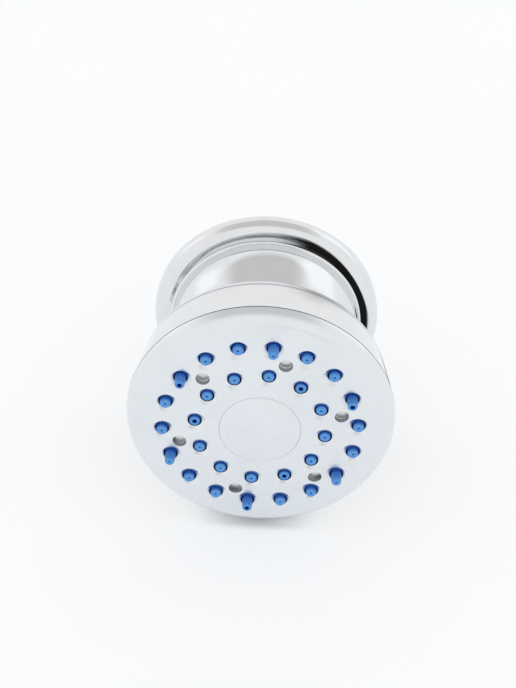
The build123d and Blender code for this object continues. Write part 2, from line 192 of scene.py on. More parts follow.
class ShaderPad(NodePad):
    """A material's or the world's nodes."""

    def place(self) -> Wire:
        """Object coordinates, in metres."""
        return self.add("ShaderNodeTexCoord", out="Object")

    def axis_parts(self, vector: Wire) -> tuple[Wire, Wire, Wire]:
        """A vector's X, Y and Z."""
        x = self.add("ShaderNodeSeparateXYZ", {"Vector": vector}, "X")
        return x, self.other(x, "Y"), self.other(x, "Z")

    def stretched(self, vector: Wire, scale: Triple) -> Wire:
        """A vector scaled by axis."""
        return self.add("ShaderNodeMapping", {"Vector": vector, "Scale": scale})

    def noise(self, vector: Wire, scale: float, detail: float = 2.0, roughness: float = 0.5) -> Wire:
        """Smooth noise from 0 to 1, with that many features to a metre."""
        sockets = {"Vector": vector, "Scale": scale, "Detail": detail, "Roughness": roughness}
        return self.add("ShaderNodeTexNoise", sockets, "Fac")

    def ease(self, value: Value, low: float, high: float, end: float = 1.0) -> Wire:
        """A smooth step from 0 up to end, while value goes from low to high."""
        sockets = {"Value": value, "From Min": low, "From Max": high, "To Max": end}
        return self.add("ShaderNodeMapRange", sockets, interpolation_type="SMOOTHSTEP")

    def hypot(self, a: Wire, b: Wire) -> Wire:
        """How long the vector with those two parts is."""
        return self.math("SQRT", a * a + b * b)

    def blend(self, share: Value, a: Union[Wire, Colour], b: Union[Wire, Colour]) -> Wire:
        """Colour a where share is 0, and b where it is 1."""
        sockets = {"Factor": share, "A": self._rgba(a), "B": self._rgba(b)}
        return self.add("ShaderNodeMix", sockets, "Result", data_type="RGBA")

    def bump(self, height: Wire, depth: float) -> Wire:
        """A normal for a surface that rises by depth, in metres, where height is 1."""
        return self.add("ShaderNodeBump", {"Height": height, "Distance": depth})

    def principled(self, sockets: dict) -> Wire:
        """The main shader with those inputs."""
        return self.add("ShaderNodeBsdfPrincipled", sockets)

    @staticmethod
    def _rgba(colour: Union[Wire, Colour]) -> Union[Wire, tuple]:
        """A colour with its alpha, or a wire as it is."""
        return colour if isinstance(colour, Wire) else (*colour, 1.0)


class GeoPad(NodePad):
    """A geometry tree with named inputs."""

    def __init__(self, name: str) -> None:
        """Makes an empty tree of that name."""
        super().__init__(bpy.data.node_groups.new(name, "GeometryNodeTree"))
        self.source = self.tree.nodes.new("NodeGroupInput")

    def input(self, name: str, kind: str) -> Wire:
        """Adds an input, such as Float or Object, and returns its wire."""
        self.tree.interface.new_socket(name, in_out="INPUT", socket_type=f"NodeSocket{kind}")
        return Wire(self, self.source.outputs[name])

    def floats(self, *names: str) -> list[Wire]:
        """Adds inputs for numbers and returns their wires."""
        return [self.input(name, "Float") for name in names]

    def taken(self, name: str) -> Wire:
        """Adds an input that takes an object, and returns the object's geometry."""
        return self.add("GeometryNodeObjectInfo", {"Object": self.input(name, "Object")}, "Geometry")

    def close(self, geometry: Wire) -> bpy.types.NodeTree:
        """Ends the tree.

        Args:
            geometry: the tree's result.

        Returns:
            The tree.
        """
        self.tree.interface.new_socket("Geometry", in_out="OUTPUT", socket_type="NodeSocketGeometry")
        self.add("NodeGroupOutput", {"Geometry": geometry})
        return self.tree

    def join(self, *parts: Wire) -> Wire:
        """Several geometries as one."""
        return self.add("GeometryNodeJoinGeometry", {"Geometry": list(reversed(parts))})

    def circle(self, segments: int, radius: Wire) -> Wire:
        """A circle round Z, as a curve."""
        sizes = {"Resolution": segments, "Radius": radius}
        return self.add("GeometryNodeCurvePrimitiveCircle", sizes)

    def raised(self, geometry: Wire, height: Wire) -> Wire:
        """A geometry moved along Z."""
        move = self.add("ShaderNodeCombineXYZ", {"Z": height})
        return self.add("GeometryNodeTransform", {"Geometry": geometry, "Translation": move})

    def dressed(self, geometry: Wire, crease: Value, material: Wire) -> Wire:
        """Ends a tree: real geometry, welded, turned to the wall, shaded and with its material.

        Args:
            geometry: parts that lie across Z, with Z as the distance out of the wall.
            crease: the angle above which an edge stays sharp, in radians.
            material: the material's wire.

        Returns:
            The finished geometry.
        """
        real = self.add("GeometryNodeRealizeInstances", {"Geometry": geometry})
        whole = self.add("GeometryNodeMergeByDistance", {"Geometry": real, "Distance": WELD})
        turn = (math.pi / 2, 0.0, 0.0)
        turned = self.add("GeometryNodeTransform", {"Geometry": whole, "Rotation": turn})
        smooth = self.add("GeometryNodeSetShadeSmooth", {"Geometry": turned}, domain="FACE")
        bend = self.add("GeometryNodeInputMeshEdgeAngle", out="Unsigned Angle")
        sharp = {"Geometry": smooth, "Selection": bend.math("GREATER_THAN", crease), "Shade Smooth": False}
        shaded = self.add("GeometryNodeSetShadeSmooth", sharp, domain="EDGE")
        return self.add("GeometryNodeSetMaterial", {"Geometry": shaded, "Material": material})


def place_in_scene(name: str, data: bpy.types.ID) -> bpy.types.Object:
    """Puts a mesh or a camera in the scene as an object.

    Args:
        name: the object's name.
        data: the mesh or the camera.

    Returns:
        The object.
    """
    made = bpy.data.objects.new(name, data)
    bpy.context.scene.collection.objects.link(made)
    return made


def realised(name: str, tree: bpy.types.NodeTree, values: dict) -> bpy.types.Mesh:
    """Runs a geometry tree and keeps its result as a plain mesh.

    Args:
        name: the mesh's name.
        tree: the geometry tree.
        values: its inputs by name. A mesh goes in as an object, which is removed again.

    Returns:
        The plain mesh.
    """
    carrier = place_in_scene(f"{name}_carrier", bpy.data.meshes.new(f"{name}_carrier"))
    helpers = [carrier]
    modifier = carrier.modifiers.new(tree.name, "NODES")
    modifier.node_group = tree
    for item in tree.interface.items_tree:
        if item.in_out == "INPUT":
            value = values[item.name]
            if isinstance(value, bpy.types.Mesh):
                value = place_in_scene(value.name, value)
                helpers.append(value)
            modifier[item.identifier] = value
    graph = bpy.context.evaluated_depsgraph_get()
    mesh = bpy.data.meshes.new_from_object(carrier.evaluated_get(graph))
    mesh.name = name
    carrier.modifiers.remove(modifier)
    for helper in helpers:
        bpy.data.objects.remove(helper)
    return mesh


@dataclass
class Run:
    """A stretch of a half section: its points, the way each faces, and how it swells."""

    points: list[Vector]
    facing: list[Vector]
    swell: Optional[Swell] = None


class Section:
    """Half a section of a turned piece, drawn with the solid on the left of the way it goes."""

    arc_step = math.radians(7.0)

    def __init__(self, radius: float, out: float) -> None:
        """Puts the pen at a radius and a distance out of the wall."""
        self.runs: list[Run] = []
        self.pen = Vector((radius, out))

    def move_to(self, radius: float, out: float) -> "Section":
        """Starts a new stretch elsewhere."""
        self.pen = Vector((radius, out))
        return self

    def path(self, *corners: tuple[float, ...]) -> "Section":
        """Goes straight from corner to corner.

        Args:
            corners: each corner's radius, distance out of the wall and, if it is rounded, its round.

        Returns:
            The section itself.
        """
        for corner, after in zip(corners, (*corners[1:], None)):
            spot = Vector(corner[:2])
            if after is None or len(corner) < 3:
                self._line(spot)
                continue
            back = (self.pen - spot).normalized()
            ahead = (Vector(after[:2]) - spot).normalized()
            half = back.angle(ahead) / 2
            reach = corner[2] / math.tan(half)
            self._line(spot + back * reach)
            self._arc(spot + ahead * reach, spot + (back + ahead).normalized() * (corner[2] / math.sin(half)))
        return self

    def arc_to(self, radius: float, out: float, centre: Pair) -> "Section":
        """Goes round a centre by the shorter way."""
        self._arc(Vector((radius, out)), Vector(centre))
        return self

    def swollen_to(self, radius: float, out: float, steps: int, swell: Swell) -> "Section":
        """Goes straight, with a surface that swells.

        Args:
            radius: where the stretch ends, as a radius.
            out: where it ends, as a distance out of the wall.
            steps: how many steps it is cut into.
            swell: gives the swelling by the angle round the axis and the distance out of the wall.

        Returns:
            The section itself.
        """
        start, end = self.pen, Vector((radius, out))
        points = [start.lerp(end, i / steps) for i in range(steps + 1)]
        self.runs.append(Run(points, [Vector((0.0, 0.0))] * len(points), swell))
        self.pen = end
        return self

    def _line(self, end: Vector) -> None:
        """Adds a straight stretch, unless it has no length.

        Args:
            end: where it ends.
        """
        step = end - self.pen
        if step.length > NO_LENGTH:
            way = step.normalized()
            facing = Vector((way.y, -way.x))
            self.runs.append(Run([self.pen, end], [facing, facing]))
        self.pen = end

    def _arc(self, end: Vector, centre: Vector) -> None:
        """Adds a stretch round a centre, by the shorter way.

        Args:
            end: where it ends.
            centre: the centre.
        """
        start = self.pen - centre
        first = math.atan2(start.y, start.x)
        sweep = math.atan2((end - centre).y, (end - centre).x) - first
        sweep = (sweep + math.pi) % (2 * math.pi) - math.pi
        steps = max(2, math.ceil(abs(sweep) / self.arc_step))
        rays = [Vector((math.cos(first + sweep * i / steps), math.sin(first + sweep * i / steps)))
                for i in range(steps + 1)]
        points = [centre + ray * start.length for ray in rays]
        points[0], points[-1] = self.pen, end
        side = 1.0 if sweep > 0 else -1.0
        self.runs.append(Run(points, [ray * side for ray in rays]))
        self.pen = end


@dataclass
class Lathe:
    """Turns half sections into meshes, with normals that follow the drawn curve and not its facets, unless
    they stand upright.
    """

    segments: int = 192
    upright: bool = False

    def mesh(self, name: str, section: Section, finish: Optional["Finish"] = None) -> bpy.types.Mesh:
        """Turns a section about the jet's axis.

        Args:
            name: the mesh's name.
            section: the half section.
            finish: the mesh's finish, if it gets one here.

        Returns:
            The mesh, in metres.
        """
        angles = [2 * math.pi * i / self.segments for i in range(self.segments)]
        spots: list[tuple] = []
        rings: dict[tuple, list[int]] = {}

        def ring(point: Vector, swell: Optional[Swell]) -> list[int]:
            """The vertices round the axis at a point of the section, made once.

            Args:
                point: the point.
                swell: the swelling of the run that it is on, if it has one.

            Returns:
                One vertex for each angle.
            """
            key = (round(point.x, KEY_DIGITS), round(point.y, KEY_DIGITS))
            if key not in rings:
                first = len(spots)
                pole = point.x < NO_LENGTH
                for angle in angles[:1] if pole else angles:
                    radius = point.x + (swell(angle, point.y) if swell else 0.0)
                    spots.append(self._place(radius * MM, point.y * MM, angle))
                rings[key] = [first] * self.segments if pole else list(range(first, len(spots)))
            return rings[key]

        faces, normals = [], []
        for run in section.runs:
            for i in range(len(run.points) - 1):
                low, high = ring(run.points[i], run.swell), ring(run.points[i + 1], run.swell)
                for j in range(self.segments):
                    k = (j + 1) % self.segments
                    corners = {low[j]: (i, j), low[k]: (i, k), high[k]: (i + 1, k), high[j]: (i + 1, j)}
                    faces.append(tuple(corners))
                    normals.extend(
                        self._place(run.facing[n].x, run.facing[n].y, angles[m]) for n, m in corners.values()
                    )
        mesh = bpy.data.meshes.new(name)
        mesh.from_pydata(spots, [], faces, shade_flat=False)
        if finish:
            mesh.materials.append(finish.material())
        if not self.upright:
            mesh.normals_split_custom_set(normals)
        return mesh

    def _place(self, radius: float, out: float, angle: float) -> Triple:
        """A point or a direction at an angle round the axis."""
        across, up = radius * math.cos(angle), radius * math.sin(angle)
        return (across, up, out) if self.upright else (across, -out, up)


@dataclass(frozen=True)
class Extent:
    """How far a CAD node reaches: its radius, and its span out of the wall, in millimetres."""

    radius: float
    back: float
    front: float

    @classmethod
    def of(cls, node: str) -> "Extent":
        """Measures a node in the frame."""
        low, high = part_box(node)
        return cls(high.x / MM, -high.y / MM, -low.y / MM)


def add_piece(name: str, mesh: bpy.types.Mesh, body: Body, slot: Slot, node: str) -> None:
    """Puts a mesh in the scene as a piece.

    Args:
        name: the piece's name.
        mesh: its mesh, in place.
        body: the body that it rides on.
        slot: the record's slot; not used.
        node: the CAD node that it stands for.
    """
    piece = place_in_scene(name, mesh)
    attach(piece, body.value)
    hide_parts(node)
    log.info("%s: %d faces on %s", name, len(mesh.polygons), body.value)


def darker(colour: Colour, share: float) -> Colour:
    """A colour with only a share of its light."""
    return tuple(share * part for part in colour)


def new_material(name: str, shader: Callable[[ShaderPad], Wire]) -> bpy.types.Material:
    """Makes a material.

    Args:
        name: its name.
        shader: writes its nodes and returns their shader.

    Returns:
        The material.
    """
    material = bpy.data.materials.new(name)
    material.use_nodes = True
    material.node_tree.nodes.clear()
    pad = ShaderPad(material.node_tree)
    pad.add("ShaderNodeOutputMaterial", {"Surface": shader(pad)})
    material.cycles.emission_sampling = "NONE"
    return material


@dataclass(frozen=True)
class Finish(ABC):
    """A finish of the object's, with one material of its own."""

    name: str
    colour: Colour
    _made: ClassVar[dict[str, bpy.types.Material]] = {}

    def material(self) -> bpy.types.Material:
        """Finds the finish's material, or makes it on first use.

        Returns:
            The material.
        """
        if self.name not in self._made:
            self._made[self.name] = new_material(self.name, self.shader)
        return self._made[self.name]

    def dress(self, *nodes: str) -> None:
        """Gives CAD nodes this finish.

        Args:
            nodes: the nodes' names.
        """
        for node in nodes:
            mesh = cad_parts[node].data
            mesh.materials.clear()
            mesh.materials.append(self.material())
            log.info("%s: %s", node, self.name)

    @abstractmethod
    def shader(self, pad: ShaderPad) -> Wire:
        """Writes the finish's nodes and returns its shader."""


@dataclass(frozen=True)
class Plating(Finish):
    """Metal plating with cloudy smears and fine wipe marks."""

    smears_per_metre: float = 140.0
    smear_edge: Pair = (0.4, 0.75)  # the noise at which a smear starts and is full
    smear_shade: float = 0.96
    wipes_per_metre: float = 900.0
    wipe_grain: Triple = (1.0, 0.15, 0.3)
    wipe_relief: float = 0.02

    def marks(self, pad: ShaderPad, place: Wire) -> tuple[Wire, Wire]:
        """The noise of the smears and of the wipe marks."""
        smear = pad.noise(place, self.smears_per_metre, detail=4.0, roughness=0.6)
        return smear, pad.noise(pad.stretched(place, self.wipe_grain), self.wipes_per_metre)

    def smeared(self, pad: ShaderPad, smear: Wire) -> Wire:
        """The plating's colour, a little darker under the smears."""
        shade = darker(self.colour, self.smear_shade)
        return pad.blend(pad.ease(smear, *self.smear_edge), self.colour, shade)


@dataclass(frozen=True)
class MirrorPlate(Plating):
    """Bright plating: a clear mirror with slow waves from the polishing and a faint haze."""

    haze: float = 0.025
    haze_spread: float = 0.035
    haze_edge: Pair = (0.45, 0.8)
    haze_wipes: Pair = (0.6, 0.8)  # the share of the haze between wipe marks, and what a mark adds
    waves_per_metre: float = 55.0
    wave_depth: float = 4e-6
    # painted shade: a dark line round the piece, for the shade of the gap at its edge
    shade_line_out: float = 0.0
    shade_line_width: float = 0.0
    shade_line_core: float = 0.3
    shade_line_colour: Colour = (0.45, 0.46, 0.48)

    def shader(self, pad: ShaderPad) -> Wire:
        """Writes the plating's nodes.

        Args:
            pad: the material's tree.

        Returns:
            The shader.
        """
        place = pad.place()
        smear, wipe = self.marks(pad, place)
        wiped = self.haze_wipes[0] + self.haze_wipes[1] * wipe
        rough = self.haze + self.haze_spread * pad.ease(smear, *self.haze_edge) * wiped
        colour = self.smeared(pad, smear)
        if self.shade_line_width:
            colour = pad.blend(self._shade_line(pad, place), colour, self.shade_line_colour)
        wave = pad.noise(place, self.waves_per_metre, detail=1.0)
        normal = pad.bump(wave + self.wipe_relief * wipe, self.wave_depth)
        return pad.principled(
            {"Base Color": colour, "Metallic": 1.0, "Roughness": rough, "Normal": normal}
        )

    def _shade_line(self, pad: ShaderPad, place: Wire) -> Wire:
        """Measures how near a place is to a fine line round the piece, along which painted shade darkens its
        plating.

        Args:
            pad: the material's tree.
            place: the object coordinates.

        Returns:
            1 along the line and 0 away from it.
        """
        _, y, _ = pad.axis_parts(place)
        off = pad.math("ABSOLUTE", y / MM + self.shade_line_out)
        return 1.0 - pad.ease(off, self.shade_line_core * self.shade_line_width, self.shade_line_width / 2)


@dataclass(frozen=True)
class SatinPlate(Plating):
    """Satin plating on a moulding: a soft sheen, and painted shade down in the blind holes, dark on their
    walls and lighter on their floors.
    """

    smears_per_metre: float = 120.0
    smear_shade: float = 0.97
    wipes_per_metre: float = 800.0
    wipe_grain: Triple = (1.0, 1.0, 0.2)
    wipe_relief: float = 0.05
    sheen: float = 0.27
    sheen_spread: float = 0.08
    relief_depth: float = 5e-6
    face_out: float = 46.0
    crown_start: float = 9.1
    crown_arc: float = 128.0
    hole_ring: float = 18.4
    hole_count: int = 6
    hole_turn: float = 14.74
    hole_radius: float = 1.55
    hole_depth: float = 1.4
    hole_edge: Pair = (0.06, 0.12)  # millimetres over which a hole's painted shade sets in
    floor_edge: Pair = (0.12, 0.04)  # millimetres above a hole's floor over which its lighter painted shade sets in
    # painted shade in the blind holes: dark on their walls, lighter on their floors
    hole_wall_shade: Colour = (0.3, 0.31, 0.32)
    hole_floor_shade: Colour = (0.74, 0.75, 0.76)

    def shader(self, pad: ShaderPad) -> Wire:
        """Writes the plating's nodes.

        Args:
            pad: the material's tree.

        Returns:
            The shader.
        """
        place = pad.place()
        sunk, hole = self._hole(pad, place)
        smear, wipe = self.marks(pad, place)
        # the blind holes get painted shade in place of the plating's colour
        floor = pad.ease(sunk, *(self.hole_depth - edge for edge in self.floor_edge))
        inside = pad.blend(floor, self.hole_wall_shade, self.hole_floor_shade)
        return pad.principled(
            {
                "Base Color": pad.blend(hole, self.smeared(pad, smear), inside),
                "Metallic": 1.0,
                "Roughness": self.sheen + self.sheen_spread * (smear + wipe - 1.0),
                "Normal": pad.bump(smear + self.wipe_relief * wipe, self.relief_depth),
            }
        )

    def _hole(self, pad: ShaderPad, place: Wire) -> tuple[Wire, Wire]:
        """Finds the blind holes.

        Args:
            pad: the material's tree.
            place: the object coordinates.

        Returns:
            The depth below the face's crown, in millimetres, and 1 inside a blind hole.
        """
        x, y, z = pad.axis_parts(place)
        radius = pad.hypot(x, z) / MM
        across = pad.math("MAXIMUM", radius - self.crown_start, 0.0)
        sunk = self.face_out - across * across / (2 * self.crown_arc) + y / MM
        half = math.pi / self.hole_count
        angle = pad.math("WRAP", pad.math("ARCTAN2", z, x) - math.radians(self.hole_turn), half, -half)
        aside, off = radius * angle, radius - self.hole_ring
        past = pad.hypot(aside, off) - self.hole_radius
        return sunk, pad.ease(sunk, *self.hole_edge) * (1.0 - pad.ease(past, *self.hole_edge))


@dataclass(frozen=True)
class TurnedMetal(Finish):
    """Bare turned metal: tool lines round the axis, a dull skin and darker stains."""

    stain: Colour = (0.3, 0.2, 0.08)
    stain_edge: Pair = (0.5, 0.85)
    stain_share: float = 0.55
    stains_per_metre: float = 260.0
    gloss: float = 0.24
    stain_dullness: float = 0.22
    tool_dullness: float = 0.03
    tool_pitch: float = 0.00022
    tool_relief: float = 0.5
    relief_depth: float = 6e-6

    def shader(self, pad: ShaderPad) -> Wire:
        """Writes the metal's nodes.

        Args:
            pad: the material's tree.

        Returns:
            The shader.
        """
        place = pad.place()
        x, y, z = pad.axis_parts(place)
        lines = pad.math("SINE", (pad.hypot(x, z) + y) * (2 * math.pi / self.tool_pitch))
        patches = pad.noise(place, self.stains_per_metre, detail=5.0, roughness=0.65)
        stained = pad.ease(patches, *self.stain_edge, self.stain_share)
        return pad.principled(
            {
                "Base Color": pad.blend(stained, self.colour, self.stain),
                "Metallic": 1.0,
                "Roughness": self.gloss + self.stain_dullness * patches + self.tool_dullness * lines,
                "Normal": pad.bump(lines * self.tool_relief + patches, self.relief_depth),
            }
        )


@dataclass(frozen=True)
class Moulding(Finish):
    """A moulded skin with a fine grain."""

    sheen: float = 0.38
    sheen_spread: float = 0.2
    grains_per_metre: float = 6000.0
    grain_depth: float = 8e-6

    def skin(self, pad: ShaderPad, place: Wire) -> dict[str, Wire]:
        """Writes the grain's nodes.

        Args:
            pad: the material's tree.
            place: the object coordinates.

        Returns:
            The main shader's inputs that the grain gives.
        """
        grain = pad.noise(place, self.grains_per_metre)
        rough = self.sheen + self.sheen_spread * grain
        return {"Roughness": rough, "Normal": pad.bump(grain, self.grain_depth)}


@dataclass(frozen=True)
class Silicone(Moulding):
    """Soft moulded silicone, satin: dark with painted shade, and a painted light that pales it towards the
    nozzles' tips.
    """

    sheen: float = 0.32
    sheen_spread: float = 0.18
    grains_per_metre: float = 9000.0
    grain_depth: float = 6e-6
    clouds_per_metre: float = 900.0
    cloudiness: float = 0.3
    # the colour of the painted light at the nozzles' tips
    lit_tip_colour: Colour = (0.1, 0.35, 0.75)
    # the mesh attribute that marks how much painted light a place gets
    paleness: str = "paleness"

    def shader(self, pad: ShaderPad) -> Wire:
        """Writes the silicone's nodes.

        Args:
            pad: the material's tree.

        Returns:
            The shader.
        """
        place = pad.place()
        # painted light from the nozzles' marks lifts the painted shade of the silicone's own colour
        pale = pad.add("ShaderNodeAttribute", out="Fac", attribute_name=self.paleness)
        cloud = pad.noise(place, self.clouds_per_metre, detail=3.0)
        base = pad.blend(pale * pale, self.colour, self.lit_tip_colour)
        return pad.principled(
            {
                "Base Color": pad.blend(self.cloudiness * cloud, base, self.colour),
                "Subsurface Weight": 0.06,
                "Subsurface Radius": (0.2, 0.5, 1.0),
                "Subsurface Scale": 0.0004,
                "Specular IOR Level": 0.45,
                **self.skin(pad, place),
            }
        )


@dataclass(frozen=True)
class Rubber(Moulding):
    """Black moulded rubber with a fine grain and a greyish bloom."""

    sheen: float = 0.55
    sheen_spread: float = 0.25
    grains_per_metre: float = 7000.0
    grain_depth: float = 1.2e-5
    clouds_per_metre: float = 350.0
    bloom: Colour = (0.07, 0.07, 0.075)
    bloom_edge: Pair = (0.45, 0.8)

    def shader(self, pad: ShaderPad) -> Wire:
        """Writes the rubber's nodes.

        Args:
            pad: the material's tree.

        Returns:
            The shader.
        """
        place = pad.place()
        cloud = pad.noise(place, self.clouds_per_metre, detail=4.0, roughness=0.6)
        colour = pad.blend(pad.ease(cloud, *self.bloom_edge), self.colour, self.bloom)
        return pad.principled({"Base Color": colour, **self.skin(pad, place)})


@dataclass(frozen=True)
class Foam(Finish):
    """Closed-cell foam: cut cells of many sizes, with painted shade in their hollow middles."""

    cells_per_metre: float = 2200.0
    wall_edge: Pair = (0.1, 0.55)  # the distances from a cell's middle at which its wall starts and is full
    # painted shade in the cells' hollow middles
    middle_painted_shade: float = 0.25
    dullness: Pair = (0.75, 0.2)  # the roughness in the cells' middles, and what their walls add
    cell_depth: float = 1e-4

    def shader(self, pad: ShaderPad) -> Wire:
        """Writes the foam's nodes.

        Args:
            pad: the material's tree.

        Returns:
            The shader.
        """
        sockets = {"Vector": pad.place(), "Scale": self.cells_per_metre, "Randomness": 1.0}
        cells = pad.add("ShaderNodeTexVoronoi", sockets, "Distance", feature="F1")
        wall = pad.ease(cells, *self.wall_edge)
        return pad.principled(
            {
                "Base Color": pad.blend(wall, darker(self.colour, self.middle_painted_shade), self.colour),
                "Roughness": self.dullness[0] + self.dullness[1] * wall,
                "Normal": pad.bump(wall, self.cell_depth),
            }
        )


@dataclass(frozen=True)
class MouldedPlastic(Moulding):
    """Moulded plastic: a spark-eroded grain, flow marks and a soft sheen."""

    flows_per_metre: float = 120.0
    flow_grain: Triple = (1.0, 0.4, 1.0)
    flow_shade: float = 0.86

    def shader(self, pad: ShaderPad) -> Wire:
        """Writes the plastic's nodes.

        Args:
            pad: the material's tree.

        Returns:
            The shader.
        """
        place = pad.place()
        flow = pad.noise(pad.stretched(place, self.flow_grain), self.flows_per_metre, detail=3.0)
        colour = pad.blend(flow, self.colour, darker(self.colour, self.flow_shade))
        return pad.principled({"Base Color": colour, **self.skin(pad, place)})


PLATE_COLOUR: Colour = (0.78, 0.794, 0.808)
CHROME_BRASS = MirrorPlate("chrome_on_brass", PLATE_COLOUR)
# the head's shell gets a line of painted shade round it
CHROME_PLASTIC = MirrorPlate(
    "chrome_on_plastic", PLATE_COLOUR, haze=0.06, wave_depth=6e-6, shade_line_out=30.55, shade_line_width=0.9
)
SATIN_FACE = SatinPlate("satin_face", (0.788, 0.82, 0.849))
BRASS = TurnedMetal("turned_brass", (0.72, 0.5, 0.2))
STEEL = TurnedMetal("stainless_steel", (0.56, 0.56, 0.55), stain=(0.32, 0.31, 0.3), gloss=0.2)
# its colour is the painted shade of the nozzles' sides down in their holes
SILICONE = Silicone("soft_silicone", (0.005, 0.085, 0.5))
RUBBER = Rubber("black_rubber", (0.018, 0.018, 0.02))
FOAM = Foam("closed_cell_foam", (0.05, 0.05, 0.055))
ACETAL = MouldedPlastic("natural_acetal", (0.8, 0.79, 0.74))
GREY_PLASTIC = MouldedPlastic("grey_moulding", (0.36, 0.37, 0.38))


def ring_of_forms() -> bpy.types.NodeTree:
    """Writes the tree that stands a form at every so many places of a ring, from the first on.

    Returns:
        The tree.
    """
    pad = GeoPad("ring_of_forms")
    form = pad.input("Form", "Geometry")
    radius, turn = pad.floats("Radius", "Turn")
    count, every, first = (pad.input(name, "Int") for name in ("Count", "Every", "First"))
    place = pad.add("GeometryNodeInputIndex")
    angle = turn + (first + place * every) * (2 * math.pi) / count
    spots = {"X": radius * angle.math("COSINE"), "Y": radius * angle.math("SINE")}
    spot = pad.add("ShaderNodeCombineXYZ", spots)
    points = pad.add("GeometryNodePoints", {"Count": count / every + ROUND_OFF, "Position": spot})
    stood = pad.add("GeometryNodeInstanceOnPoints", {"Points": points, "Instance": form})
    return pad.close(pad.add("GeometryNodeRealizeInstances", {"Geometry": stood}))


class NozzleKind(Enum):
    """The nozzles' kinds, by their form's name."""

    SHORT_FINE = "Short Fine"
    SHORT_WIDE = "Short Wide"
    LONG_FINE = "Long Fine"
    LONG_WIDE = "Long Wide"


